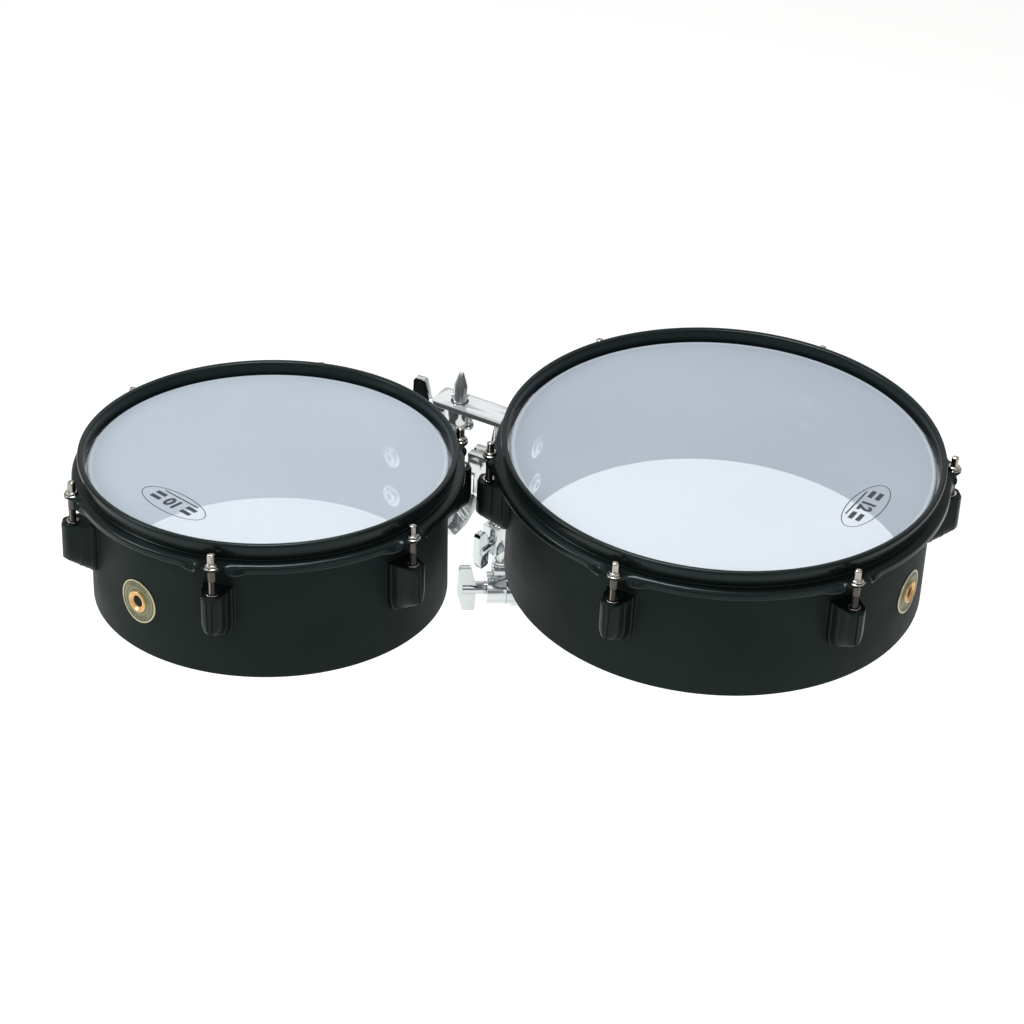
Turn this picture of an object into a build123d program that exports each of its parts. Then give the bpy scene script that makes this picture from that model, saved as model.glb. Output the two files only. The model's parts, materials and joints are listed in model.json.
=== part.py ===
from build123d import *
from math import cos, radians, sin
import os

os.makedirs("parts", exist_ok=True)

# A pair of timbales: two shallow single-headed drums on one holder.
# Millimetres, +Z up, -Y towards the player. The origin is the centre of the
# socket that clamps on the top tube of a stand.

# ---------------------------------------------------------------- places
LEFT_TOP = (-204.9, -121.1, 186.8)      # centre of the left hoop's top edge
RIGHT_TOP = (119.12, -88.34, 190.9)
LEFT_AZIMUTH = 47.2                     # direction from a drum to its bracket
RIGHT_AZIMUTH = 151.1
LEFT_TILT = -3.9                        # lean about the bracket's own axis
RIGHT_TILT = -1.7
POST_OUT = 20.1                         # post axis, out from the right shell
ROD_OUT = 67.3                          # upright of the L-rod, out from the left shell
TILTER_AZIMUTH = 5.7                    # direction of the tilter's hinge line
POST_FROM_SOCKET = 31.0                 # post axis to socket axis, along that line
HINGE_FORWARD = 8.0                     # hinge line, in front of both axes
HINGE_UP = 5.2                          # and above the middle of the socket

# ---------------------------------------------------------------- drums
LEFT_R = 127.0                          # 10 inch shell
RIGHT_R = 152.4                         # 12 inch shell
SHELL_DEPTH = 101.6                     # 4 inch
WALL = 1.2
HEAD_Z = -9.0                           # head, below the top of the counter hoop
SHELL_BOTTOM = HEAD_Z - SHELL_DEPTH
EDGE_TURN = 2.5                         # bearing edge turned in
FOOT_FLANGE = 5.0                       # bottom edge turned in
FILM = 0.3
FILM_GAP = 0.4
FLESH_Z = (-21.0, -16.0)
FLESH_OUT = (0.9, 4.9)
ROD_OUT_OF_SHELL = 14.5                 # pitch radius of the tension rods
LUG_ANGLES = [30 + 60 * k for k in range(6)]
EAR_TOP = -15.0
EAR_THICK = 3.0
EAR_END = 20.5
EAR_WIDTH = 17.0
ROD_HOLE = 3.4

# ---------------------------------------------------------------- lugs
GASKET = 0.8
LUG_TOP = -36.3
LUG_BOTTOM = -76.0
# Shield-shaped sections going outwards: out from the shell, half width, top, bottom.
LUG_SECTIONS = [
    (-3.0, 11.2, LUG_TOP, LUG_BOTTOM),
    (4.0, 11.2, LUG_TOP, LUG_BOTTOM),
    (12.4, 9.4, LUG_TOP, -71.0),
    (20.6, 7.1, LUG_TOP, -65.6),
    (22.8, 4.6, LUG_TOP - 2.0, -64.0),
]
LUG_PAD_WIDTH = 23.2
NUT_RADIUS = 4.0
NUT_BOTTOM = -52.0
LUG_SCREW_Z = (-43.0, -65.0)
SCREW_RADIUS = 2.0
SCREW_HEAD = (4.2, 2.8)                 # radius, height

# ---------------------------------------------------------------- tension rods
ROD_TOP = -4.5
KEY_HALF = 2.5
FLANGE_TOP = -12.5
FLANGE_RADIUS = 4.6
WASHER = (5.6, 1.0)                     # radius, thickness
ROD_RADIUS = 2.9
THREAD_RADIUS = 2.5
THREAD_TOP = -27.0
ROD_END = -58.0
RUNNING = 0.1                           # gap round a turning or sliding piece

# ---------------------------------------------------------------- badge and vent
BADGE_Z = -70.0
BADGE_RADIUS = 16.5
BADGE_THICK = 0.8
VENT_FLANGE = 7.0
VENT_SHANK = 4.6
VENT_HOLE = 3.2

# ---------------------------------------------------------------- drum brackets
BRACKET_Z = -73.0                       # tilt axis, in the drum's own frame
BRACKET_HALF_WIDTH = 17.0
BRACKET_HALF_HEIGHT = 25.0
BRACKET_BOLT_Z = 16.5                   # above and below the tilt axis
BRACKET_PLATE = 8.0
BLOCK_OUT = 45.0
BLOCK_HALF = (11.0, 13.0)               # half width, half height
LEG_RADIUS = 5.4
LEG_BUSH = (5.5, 7.5)                   # inner and outer radius
LEG_BUSH_SPAN = (13.0, 45.5)            # out from the shell
LEG_END_OUT = 16.0
LEG_BORE_OUT = 9.0
DISC_RADIUS = 15.0                      # right bracket's tilt disc
DISC_OUT = (5.0, 7.0)
STUD = (5.0, 11.8)                      # radius, end out from the shell

# ---------------------------------------------------------------- holder
POST_RADIUS = 6.5
POST_BOTTOM = 50.0
POST_TAP = (2.6, 12.0)                  # hole in its top: radius, depth
PLATE_BOTTOM = 146.8
PLATE_THICK = 4.0
PLATE_WIDTH = 24.0
PLATE_PAST_ROD = 18.5
PLATE_SCREW = (4.6, 3.5, 14.0)          # head radius, head height, length
OUTER_TUBE = (7.6, 10.8)                # inner and outer radius
OUTER_TUBE_Z = (26.0, 74.0)
OUTER_TUBE_FOOT = (7.0, 52.0)           # radius at the foot, height where it is full
OUTER_TUBE_FLOOR = 38.0                 # bottom of its bore
SPIGOT = (4.0, 3.0)                     # tilter into outer tube: radius, length
COLLAR_Z = (51.0, 75.0)
COLLAR_RADIUS = 12.8
COLLAR_LOBE = (16.5, 7.0)               # reach, half width
COLLAR_LOBE_Z = (39.0, 62.0)
COLLAR_WING_AZIMUTH = 232.0
COLLAR_WING_Z = 47.0
BUSH_Z = (44.0, 75.0)
BUSH_LIP = (10.5, 2.0)                  # radius, thickness
BARREL = (12.5, -10.9, 3.4)             # radius, ends along the hinge line
NECK_RADIUS = 7.0                       # tilter's neck, under the outer tube
NECK_GROOVE = (5.8, 1.3)                # radius, width
NECK_GROOVES_Z = (17.8, 20.8, 23.8)
NECK_WEB = ((-5.5, 3.4), (-2.0, 8.0), (0.0, 16.0))
RATCHET = (12.7, 3.6, 12.0)             # radius, ends along the hinge line
RECEIVER_ARM = ((8.0, 23.0), (-7.0, 13.0), (-12.0, 7.0))
STAND_BOSS = (7.0, 21.0)                # wing bolt's boss: radius, reach from the socket
STAND_RADIUS = 9.6                      # bore for a 19.1 mm stand tube
STAND_EYE = 16.0
STAND_EYE_HALF = 15.0
CLAMP_EYE = 12.0
CLAMP_EYE_Z = (-15.0, 22.0)
CLAMP_EARS = (12.7, 30.0, 8.0)          # start and end out from the post, half width
CLAMP_EARS_Z = (-22.0, -4.0)
CLAMP_BOLT = (22.5, -11.0)              # out from the post, height
CLAMP_BOSS = (5.5, 4.0)                 # radius, height
CLAMP_TAB = ((21.0, 24.0), (2.0, 8.0), (-37.0, -21.0))
CLAMP_SLOT = 2.8
LOCK_RING = (11.5, 7.5)                 # radius, height
ROD_BUSH = (5.5, 6.5)
BOSS_RADIUS = 11.5
BOSS_DEPTH = (10.0, 18.0)               # straight part, whole length
BOSS_FOOT = 8.2                         # radius at its lower end
BOSS_PEG = (7.5, -5.5, 13.5)            # place of a ball on its side, down from the plate
BOSS_PEG_RADIUS = 4.2
ROD_LOBE = (5.5, 14.0)                  # radius, reach
ROD_TIP = 175.3                         # top of the L-rod
ROD_CONE = 11.0
BEND_RADIUS = 10.0
PIN_RADIUS = 1.5
PIN_HALF = 6.4
PIN_Z = 155.2
ROD_WING_Z = 140.8
ROD_WING_AZIMUTH = 155.6
BOLT_RADIUS = 3.0
BOLT_HEAD = (6.0, 4.0)                  # radius, height

# ---------------------------------------------------------------- wing bolts
# Neck's length, half the blade's span, and the blade's length.
WING_THICK = 5.6
WING_NECK_RADIUS = 5.0
LEFT_BRACKET_BLADE = (22.8, 19.0, 14.0)
CLAMP_BLADE = (10.0, 17.0, 14.0)
ROD_BLADE = (9.0, 20.0, 14.0)
COLLAR_BLADE = (3.0, 15.5, 13.0)
TILTER_BLADE = (7.5, 19.0, 14.0)
STAND_BLADE = (8.0, 19.0, 14.0)


def write(node, *solids):
    export_step(Compound(children=list(solids)), f"parts/{node}.step")


def outline(points):
    """A face in the XZ plane from (x, z) points."""
    return make_face(Polyline(*[(x, 0, z) for x, z in points], close=True))


def ring(points):
    """A solid of revolution about Z from (radius, z) points."""
    return revolve(outline(points), Axis.Z, 360)


def slab(points, width):
    """A solid from (x, z) points, as wide as said across Y."""
    return extrude(outline(points), amount=width / 2, both=True)


def bar_z(radius, bottom, top, x=0, y=0):
    height = top - bottom
    return Pos(x, y, bottom + height / 2) * Cylinder(radius, height)


def bar_x(radius, start, end, y=0, z=0):
    length = end - start
    return Pos(start + length / 2, y, z) * Rot(0, 90, 0) * Cylinder(radius, length)


def bar_y(radius, start, end, x=0, z=0):
    length = end - start
    return Pos(x, start + length / 2, z) * Rot(90, 0, 0) * Cylinder(radius, length)


def block(x, y, z):
    """A box from its (low, high) pairs along X, Y and Z."""
    size = [pair[1] - pair[0] for pair in (x, y, z)]
    middle = [(pair[1] + pair[0]) / 2 for pair in (x, y, z)]
    return Pos(*middle) * Box(*size)


def one(shape):
    """The single solid of a shape."""
    return shape.solids().sort_by(SortBy.VOLUME)[-1]


def lug_places():
    return [Rot(0, 0, angle) for angle in LUG_ANGLES]


# ================================================================ drum pieces
# Each is made in the drum's own frame: the origin at the centre of the
# counter hoop's top edge, +Z out of the head, the bracket at +X.

def shell(r):
    top = HEAD_Z
    body = ring([
        (r - FOOT_FLANGE, SHELL_BOTTOM), (r, SHELL_BOTTOM), (r, top - EDGE_TURN),
        (r - EDGE_TURN, top), (r - EDGE_TURN - 0.9, top - 0.8), (r - WALL, top - EDGE_TURN - 1.0),
        (r - WALL, SHELL_BOTTOM + WALL), (r - FOOT_FLANGE, SHELL_BOTTOM + WALL),
    ])
    clear = SCREW_RADIUS + 0.3
    for place in lug_places():
        for z in LUG_SCREW_Z:
            body -= place * bar_x(clear, r - 10, r + 10, 0, z)
    for z in (BRACKET_Z - BRACKET_BOLT_Z, BRACKET_Z + BRACKET_BOLT_Z):
        body -= bar_x(BOLT_RADIUS + 0.3, r - 10, r + 10, 0, z)
    body -= bar_x(VENT_SHANK, -r - 10, -r + 10, 0, BADGE_Z)
    return one(body)


def head_film(r):
    outer = r + FILM_GAP + 0.4
    return one(ring([
        (0, HEAD_Z), (r + FILM_GAP, HEAD_Z), (r + FILM_GAP, FLESH_Z[1]), (outer, FLESH_Z[1]),
        (outer, HEAD_Z + FILM), (0, HEAD_Z + FILM),
    ]))


def flesh_hoop(r):
    return one(ring([
        (r + FLESH_OUT[0], FLESH_Z[0]), (r + FLESH_OUT[1], FLESH_Z[0]),
        (r + FLESH_OUT[1], FLESH_Z[1]), (r + FILM_GAP, FLESH_Z[1]),
        (r + FILM_GAP, FLESH_Z[1] - 0.5), (r + FLESH_OUT[0], FLESH_Z[1] - 1.0),
    ]))


def counter_hoop(r):
    hoop = ring([
        (r + 3.0, -16.0), (r + 3.0, -1.6), (r + 4.3, 0), (r + 6.7, 0), (r + 8.0, -1.3),
        (r + 8.0, -3.6), (r + 6.9, -4.8), (r + 5.4, -5.4), (r + 5.4, -13.0), (r + 10.6, -14.0),
        (r + 12.0, -15.4), (r + 12.0, -20.4), (r + 10.4, -20.4), (r + 10.4, -16.0),
    ])
    pitch = r + ROD_OUT_OF_SHELL
    bottom = EAR_TOP - EAR_THICK
    half = EAR_WIDTH / 2
    tip_x = r + EAR_END - half
    tongue = block((r + 10.5, tip_x), (-half, half), (bottom, EAR_TOP))
    tip = bar_z(half, bottom, EAR_TOP, tip_x)
    for place in lug_places():
        hoop += place * tongue
        hoop += place * (tip - bar_z(r + 10.5, bottom - 1, EAR_TOP + 1))
    for place in lug_places():
        hoop -= place * bar_z(ROD_HOLE, -30, -10, pitch)
        hoop -= place * bar_z(WASHER[0] + 0.5, EAR_TOP, -6, pitch)
    return one(hoop)


def shield(out, half, top, bottom):
    """A lug's section across its reach: straight sides that close in at the foot."""
    side = [(0.90, top), (1.0, top - 1.2), (1.0, bottom + 11), (0.93, bottom + 6.5),
            (0.74, bottom + 2.5), (0.40, bottom)]
    left = [(out, half * share, z) for share, z in side]
    right = [(x, -y, z) for x, y, z in reversed(left)]
    return make_face(Polyline(*left, *right, close=True))


def lug(r):
    sections = [shield(r + out, *rest) for out, *rest in LUG_SECTIONS]
    body = loft(sections, ruled=True)
    body -= bar_z(r + GASKET, -100, 0)
    body -= bar_z(NUT_RADIUS + 0.1, NUT_BOTTOM - 8, 0, r + ROD_OUT_OF_SHELL)
    for z in LUG_SCREW_Z:
        body -= bar_x(SCREW_RADIUS + 0.1, r - 1, r + 8.5, 0, z)
    return one(body)


def lug_gasket(r):
    edge = shield(r - 3, LUG_PAD_WIDTH / 2, LUG_TOP + 0.4, LUG_BOTTOM - 0.4)
    pad = extrude(edge, amount=6, dir=(1, 0, 0))
    pad = pad & (bar_z(r + GASKET, -100, 0) - bar_z(r, -101, 1))
    for z in LUG_SCREW_Z:
        pad -= bar_x(SCREW_RADIUS + 0.3, r - 5, r + 5, 0, z)
    return one(pad)


def swivel_nut(r):
    x = r + ROD_OUT_OF_SHELL
    nut = bar_z(NUT_RADIUS, NUT_BOTTOM, LUG_TOP, x) + bar_z(NUT_RADIUS + 0.7, LUG_TOP, LUG_TOP + 0.9, x)
    return one(nut - bar_z(THREAD_RADIUS + RUNNING, NUT_BOTTOM - 1, LUG_TOP + 2, x))


def shell_screw(r, z, radius, head, reach):
    inner = r - WALL - 0.2
    screw = bar_x(head[0], inner - head[1], inner, 0, z) + bar_x(radius, inner - 0.5, r + reach, 0, z)
    return one(screw - bar_x(radius * 0.8, inner - head[1] - 1, inner - head[1] + 1.2, 0, z))


def shell_screws(r):
    screws = [place * shell_screw(r, z, SCREW_RADIUS, SCREW_HEAD, 8.0)
              for place in lug_places() for z in LUG_SCREW_Z]
    for z in (BRACKET_Z - BRACKET_BOLT_Z, BRACKET_Z + BRACKET_BOLT_Z):
        screws.append(shell_screw(r, z, BOLT_RADIUS, BOLT_HEAD, 4.5))
    return screws


def rod_washer(r):
    x = r + ROD_OUT_OF_SHELL
    disc = bar_z(WASHER[0], EAR_TOP, EAR_TOP + WASHER[1], x)
    return one(disc - bar_z(ROD_RADIUS + RUNNING, EAR_TOP - 1, EAR_TOP + 3, x))


def tension_rod(r):
    x = r + ROD_OUT_OF_SHELL
    flange_bottom = EAR_TOP + WASHER[1] + 0.05
    key = block((x - KEY_HALF, x + KEY_HALF), (-KEY_HALF, KEY_HALF), (FLANGE_TOP, ROD_TOP))
    rod = key & bar_z(KEY_HALF * 1.25, FLANGE_TOP, ROD_TOP, x)
    rod += bar_z(FLANGE_RADIUS, flange_bottom, FLANGE_TOP, x)
    rod += bar_z(ROD_RADIUS, THREAD_TOP, flange_bottom, x)
    rod += bar_z(THREAD_RADIUS, ROD_END, THREAD_TOP, x)
    return one(rod)


def badge(r):
    plate = bar_x(BADGE_RADIUS, -r - 5, -r + 5, 0, BADGE_Z)
    plate = plate & (bar_z(r + BADGE_THICK, -110, 0) - bar_z(r, -111, 1))
    return one(plate - bar_x(VENT_SHANK, -r - 6, -r + 6, 0, BADGE_Z))


def vent_eyelet(r):
    outside = r + BADGE_THICK
    inside = r - WALL - 0.25
    eyelet = ring([
        (VENT_HOLE, inside - 1.0), (VENT_FLANGE - 1, inside - 1.0), (VENT_FLANGE - 1, inside),
        (VENT_SHANK, inside), (VENT_SHANK, outside), (VENT_FLANGE, outside),
        (VENT_FLANGE, outside + 0.7), (VENT_FLANGE - 1.5, outside + 1.6),
        (VENT_HOLE + 0.8, outside + 1.6), (VENT_HOLE, outside + 0.8),
    ])
    return one(Pos(0, 0, BADGE_Z) * Rot(0, -90, 0) * eyelet)


def bracket_plate(r, thick):
    z0 = BRACKET_Z - BRACKET_HALF_HEIGHT
    z1 = BRACKET_Z + BRACKET_HALF_HEIGHT
    plate = block((r - 4, r + thick), (-BRACKET_HALF_WIDTH, BRACKET_HALF_WIDTH), (z0, z1))
    corners = plate.edges().filter_by(Axis.X)
    plate = fillet(corners, 7.0)
    plate -= bar_z(r, z0 - 1, z1 + 1)
    for z in (BRACKET_Z - BRACKET_BOLT_Z, BRACKET_Z + BRACKET_BOLT_Z):
        plate -= bar_x(BOLT_RADIUS + 0.1, r - 5, r + 4.7, 0, z)
    return plate


def left_bracket(r):
    half_y, half_z = BLOCK_HALF
    head = block((r + 4, r + BLOCK_OUT), (-half_y, half_y), (BRACKET_Z - half_z, BRACKET_Z + half_z))
    head = fillet(head.edges().filter_by(Axis.X), 4.0)
    body = bracket_plate(r, BRACKET_PLATE) + head
    body -= bar_x(LEG_BUSH[1] + RUNNING, r + LEG_BORE_OUT, r + BLOCK_OUT + 1, 0, BRACKET_Z)
    place = Pos(r, 0, BRACKET_Z) * LEFT_WING
    boss = place * bar_x(LEFT_WING_BOSS[0], 1, LEFT_WING_BOSS[1])
    body += boss - bar_x(LEG_BUSH[1] + 1, r, r + 100, 0, BRACKET_Z)
    body -= place * bar_x(BOLT_RADIUS + RUNNING, 0, LEFT_WING_BOSS[1] + 1)
    return one(body)


def leg_bush(r):
    start = r + LEG_BUSH_SPAN[0]
    end = r + LEG_BUSH_SPAN[1]
    tube = bar_x(LEG_BUSH[1], start, end, 0, BRACKET_Z)
    lip = bar_x(LEG_BUSH[1] + 1.8, r + BLOCK_OUT + 0.2, end + 1.3, 0, BRACKET_Z)
    return one(tube + lip - bar_x(LEG_BUSH[0], start - 1, end + 3, 0, BRACKET_Z))


def right_bracket(r):
    body = bracket_plate(r, DISC_OUT[0])
    body += bar_x(DISC_RADIUS, r + DISC_OUT[0] - 0.2, r + DISC_OUT[1], 0, BRACKET_Z)
    body += bar_x(STUD[0], r + DISC_OUT[1] - 1, r + STUD[1], 0, BRACKET_Z)
    return one(body)


# ================================================================ wing bolts
# The axis is +X, out of the clamp. The seat is where the neck starts.

def wing_bolt(shank_start, seat, size):
    neck, span, blade = size
    near = seat + neck
    far = near + blade
    wing = outline([
        (near, 3.5), (near + blade * 0.28, span - 1.5), (near + blade * 0.38, span),
        (far - 1.5, span), (far, span - 2.0), (far, -4.0), (far - blade * 0.28, 1.5 - span),
        (far - blade * 0.38, -span), (near + 1.5, -span), (near, 2.0 - span),
    ])
    body = extrude(wing, amount=WING_THICK / 2, both=True)
    body += bar_x(WING_NECK_RADIUS, seat, near + blade * 0.75)
    body += bar_x(BOLT_RADIUS, shank_start, seat + 1)
    return one(body)


# The left bracket's wing bolt leaves its block forwards and down. Its frame is
# taken from where the tilt axis meets the shell.
LEFT_WING = Pos(34, 0, -10) * Rot(0, 0, -32) * Rot(0, 57, 0) * Rot(-42, 0, 0)
LEFT_WING_BOSS = (7.0, 20.0)            # radius, end

# ================================================================ places
LEFT = Pos(*LEFT_TOP) * Rot(0, 0, LEFT_AZIMUTH) * Rot(LEFT_TILT, 0, 0)
RIGHT = Pos(*RIGHT_TOP) * Rot(0, 0, RIGHT_AZIMUTH) * Rot(RIGHT_TILT, 0, 0)


def out_from(place, azimuth, distance):
    """A frame on a drum's tilt axis, +X pointing out along it, level."""
    middle = (place * Pos(0, 0, BRACKET_Z)).position
    reach = Vector(cos(radians(azimuth)), sin(radians(azimuth)), 0) * distance
    return Pos(middle + reach) * Rot(0, 0, azimuth)


ROD_FOOT = out_from(LEFT, LEFT_AZIMUTH, LEFT_R + ROD_OUT)
POST_EYE = out_from(RIGHT, RIGHT_AZIMUTH, RIGHT_R + POST_OUT)
TILTER = Rot(0, 0, TILTER_AZIMUTH) * Pos(-POST_FROM_SOCKET, -HINGE_FORWARD, HINGE_UP)
POST_FOOT = (Rot(0, 0, TILTER_AZIMUTH) * Pos(-POST_FROM_SOCKET, 0, 0)).position
POST = Pos(POST_FOOT)
ROD_X = ROD_FOOT.position.X
ROD_Y = ROD_FOOT.position.Y
ROD_FOOT_Z = ROD_FOOT.position.Z
ROD = Pos(ROD_X, ROD_Y, 0)
ROD_FROM_POST = (Vector(ROD_X, ROD_Y, 0) - POST_FOOT).length


# ================================================================ holder pieces
def receiver():
    """Ratchet disc, arm and the eye that clamps the stand, in the tilter's frame."""
    radius, start, end = RATCHET
    x, y, z = POST_FROM_SOCKET, HINGE_FORWARD, -HINGE_UP
    bottom, top = z - STAND_EYE_HALF, z + STAND_EYE_HALF
    body = bar_x(radius, start, end)
    body += bar_z(STAND_EYE, bottom, top, x, y)
    body += block(*RECEIVER_ARM)
    body += bar_y(STAND_BOSS[0], y, y + STAND_BOSS[1], x, z)
    body -= bar_z(STAND_RADIUS, bottom - 1, top + 1, x, y)
    body -= bar_y(BOLT_RADIUS + RUNNING, y + 5, y + STAND_BOSS[1] + 1, x, z)
    body -= bar_x(BOLT_RADIUS + RUNNING, 0, end + 1.5)
    return one(body)


def tilter():
    """Barrel on the hinge line, and the neck that carries the outer tube."""
    radius, start, end = BARREL
    top = OUTER_TUBE_Z[0] - HINGE_UP
    spigot = bar_z(SPIGOT[0], top - 1, top + SPIGOT[1], 0, HINGE_FORWARD)
    neck = bar_z(NECK_RADIUS, 0, top, 0, HINGE_FORWARD)
    deep, width = NECK_GROOVE
    for z in NECK_GROOVES_Z:
        low = z - HINGE_UP - width / 2
        band = bar_z(NECK_RADIUS + 1, low, low + width, 0, HINGE_FORWARD)
        neck -= band - bar_z(deep, low, low + width, 0, HINGE_FORWARD)
    body = neck + spigot + block(*NECK_WEB) - bar_x(RATCHET[0] + 0.5, end, RATCHET[2] + 1)
    body += bar_x(radius, start, end)
    body -= bar_x(BOLT_RADIUS + RUNNING, start - 1, end + 8)
    return one(body)


def tube_blank():
    """The outer tube without its bore: a taper under a straight part."""
    low, high = OUTER_TUBE_Z
    foot, full = OUTER_TUBE_FOOT
    radius = OUTER_TUBE[1]
    return ring([(0, low), (foot, low), (radius, full), (radius, high), (0, high)])


def outer_tube():
    low, high = OUTER_TUBE_Z
    body = tube_blank() - bar_z(OUTER_TUBE[0], OUTER_TUBE_FLOOR, high + 1)
    return one(body - bar_z(SPIGOT[0], low - 1, low + SPIGOT[1]))


def post_collar():
    low, high = COLLAR_Z
    reach, half = COLLAR_LOBE
    turn = Rot(0, 0, COLLAR_WING_AZIMUTH)
    body = bar_z(COLLAR_RADIUS, low, high - 3) + bar_z(COLLAR_RADIUS - 1.5, low, high)
    body += turn * block((0, reach), (-half, half), COLLAR_LOBE_Z)
    body -= tube_blank()
    body -= bar_z(OUTER_TUBE[0], low - 1, high + 1)
    body -= turn * bar_x(BOLT_RADIUS + RUNNING, OUTER_TUBE[1] - 0.5, reach + 1, 0, COLLAR_WING_Z)
    return one(body)


def post_bush():
    low, high = BUSH_Z
    bush = bar_z(OUTER_TUBE[0] - RUNNING, low, high + 0.1)
    bush += bar_z(BUSH_LIP[0], high + 0.1, high + BUSH_LIP[1])
    return one(bush - bar_z(POST_RADIUS + RUNNING, low - 1, high + 5))


def inner_post():
    body = bar_z(POST_RADIUS, POST_BOTTOM, PLATE_BOTTOM)
    radius, depth = POST_TAP
    return one(body - bar_z(radius, PLATE_BOTTOM - depth, PLATE_BOTTOM + 1))


def top_plate():
    """In the post's frame, +X towards the L-rod."""
    end = ROD_FROM_POST + PLATE_PAST_ROD
    low, high = PLATE_BOTTOM, PLATE_BOTTOM + PLATE_THICK
    half = PLATE_WIDTH / 2
    straight = block((0, end), (-half, half), (low, high))
    straight = fillet(straight.edges().filter_by(Axis.Z).group_by(Axis.X)[-1], 3.0)
    plate = straight + bar_z(half, low, high)
    plate -= bar_z(POST_TAP[0] + RUNNING, low - 1, high + 1)
    plate -= bar_z(ROD_BUSH[1] + RUNNING, low - 1, high + 1, ROD_FROM_POST)
    return one(plate)


def plate_screw():
    top = PLATE_BOTTOM + PLATE_THICK
    radius, height, length = PLATE_SCREW
    screw = bar_z(radius, top, top + height) + bar_z(POST_TAP[0] - RUNNING, top - length, top + 1)
    return one(screw - bar_z(2.0, top + 1.5, top + height + 1))


def rod_clamp():
    """The boss under the plate that grips the upright of the L-rod."""
    top = PLATE_BOTTOM
    straight, whole = BOSS_DEPTH
    body = ring([
        (0, top), (BOSS_RADIUS, top), (BOSS_RADIUS, top - straight),
        (BOSS_FOOT, top - whole), (0, top - whole),
    ])
    peg_x, peg_y, peg_down = BOSS_PEG
    peg = Pos(peg_x, peg_y, top - peg_down) * Sphere(BOSS_PEG_RADIUS)
    turn = Rot(0, 0, ROD_WING_AZIMUTH)
    lobe = turn * bar_x(ROD_LOBE[0], 0, ROD_LOBE[1], 0, ROD_WING_Z)
    body = body + peg + (lobe & bar_z(30, top - whole, top))
    body -= bar_z(ROD_BUSH[1] + RUNNING, top - whole - 1, top + 1)
    body -= turn * bar_x(BOLT_RADIUS + RUNNING, 0, 20, 0, ROD_WING_Z)
    return one(body)


def rod_bush():
    low = PLATE_BOTTOM - BOSS_DEPTH[1]
    high = PLATE_BOTTOM + PLATE_THICK
    return one(bar_z(ROD_BUSH[1], low, high) - bar_z(ROD_BUSH[0], low - 1, high + 1))


def l_rod():
    """In the rod foot's frame: the leg along -X, the upright along +Z."""
    top = ROD_TIP - ROD_FOOT_Z
    leg = ROD_OUT - LEG_END_OUT
    path = FilletPolyline((-leg, 0, 0), (0, 0, 0), (0, 0, top - ROD_CONE), radius=BEND_RADIUS)
    section = Plane((-leg, 0, 0), z_dir=(1, 0, 0)) * Circle(LEG_RADIUS)
    rod = sweep(section, path)
    rod += Pos(0, 0, top - ROD_CONE / 2) * Cone(LEG_RADIUS, 1.8, ROD_CONE)
    pin_z = PIN_Z - ROD_FOOT_Z
    return one(rod - Rot(0, 0, -LEFT_AZIMUTH) * bar_x(PIN_RADIUS, -20, 20, 0, pin_z))


def stop_pin():
    return one(ROD * bar_x(PIN_RADIUS, -PIN_HALF, PIN_HALF, 0, PIN_Z))


def lock_ring():
    """In the eye's frame."""
    radius, height = LOCK_RING
    top = CLAMP_EYE_Z[0] - 0.3
    body = bar_z(radius, top - height, top) - bar_z(POST_RADIUS + RUNNING, top - height - 1, top + 1)
    body -= block((5, 15), (-1.2, 1.2), (top - height - 1, top + 1))
    return one(body)


def swivel_clamp():
    """In the eye's frame: the drum is at -X, the ears point to +X."""
    face = DISC_OUT[1] + 0.3 - POST_OUT
    low, high = CLAMP_EYE_Z
    start, end, half = CLAMP_EARS
    ears_low, ears_high = CLAMP_EARS_Z
    bolt_x, bolt_z = CLAMP_BOLT
    body = bar_z(CLAMP_EYE, low, high)
    body += bar_x(DISC_RADIUS, face, -POST_RADIUS - 0.5)
    body += block((6, start + 1), (-half, half), (low + 0.1, ears_high))
    body += block((start, end), (-half, half), (ears_low, ears_high))
    body += block(*CLAMP_TAB)
    body += bar_y(CLAMP_BOSS[0], half - 1, half + CLAMP_BOSS[1], bolt_x, bolt_z)
    body -= bar_z(POST_RADIUS + RUNNING, low - 1, high + 1)
    body -= block((0, end + 1), (-CLAMP_SLOT / 2, CLAMP_SLOT / 2), (ears_low - 1, high + 1))
    body -= bar_x(STUD[0] + RUNNING, face - 1, STUD[1] + 0.3 - POST_OUT)
    body -= bar_y(BOLT_RADIUS + RUNNING, -half - 1, half + 0.5, bolt_x, bolt_z)
    return one(body)


# ================================================================ building
def build_drum(side, r, place):
    def put(*solids):
        return [place * solid for solid in solids]

    def at_lugs(solid):
        return [place * spot * solid for spot in lug_places()]

    write(f"{side}_shell", *put(shell(r)))
    write(f"{side}_head", *put(head_film(r)))
    write(f"{side}_flesh_hoop", *put(flesh_hoop(r)))
    write(f"{side}_counter_hoop", *put(counter_hoop(r)))
    write(f"{side}_lugs", *at_lugs(lug(r)))
    write(f"{side}_lug_gaskets", *at_lugs(lug_gasket(r)))
    write(f"{side}_swivel_nuts", *at_lugs(swivel_nut(r)))
    write(f"{side}_shell_screws", *put(*shell_screws(r)))
    write(f"{side}_rod_washers", *at_lugs(rod_washer(r)))
    write(f"{side}_badge", *put(badge(r)))
    write(f"{side}_vent_eyelet", *put(vent_eyelet(r)))
    for number, rod in enumerate(at_lugs(tension_rod(r)), 1):
        write(f"{side}_tension_rod_{number}", rod)


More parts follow.
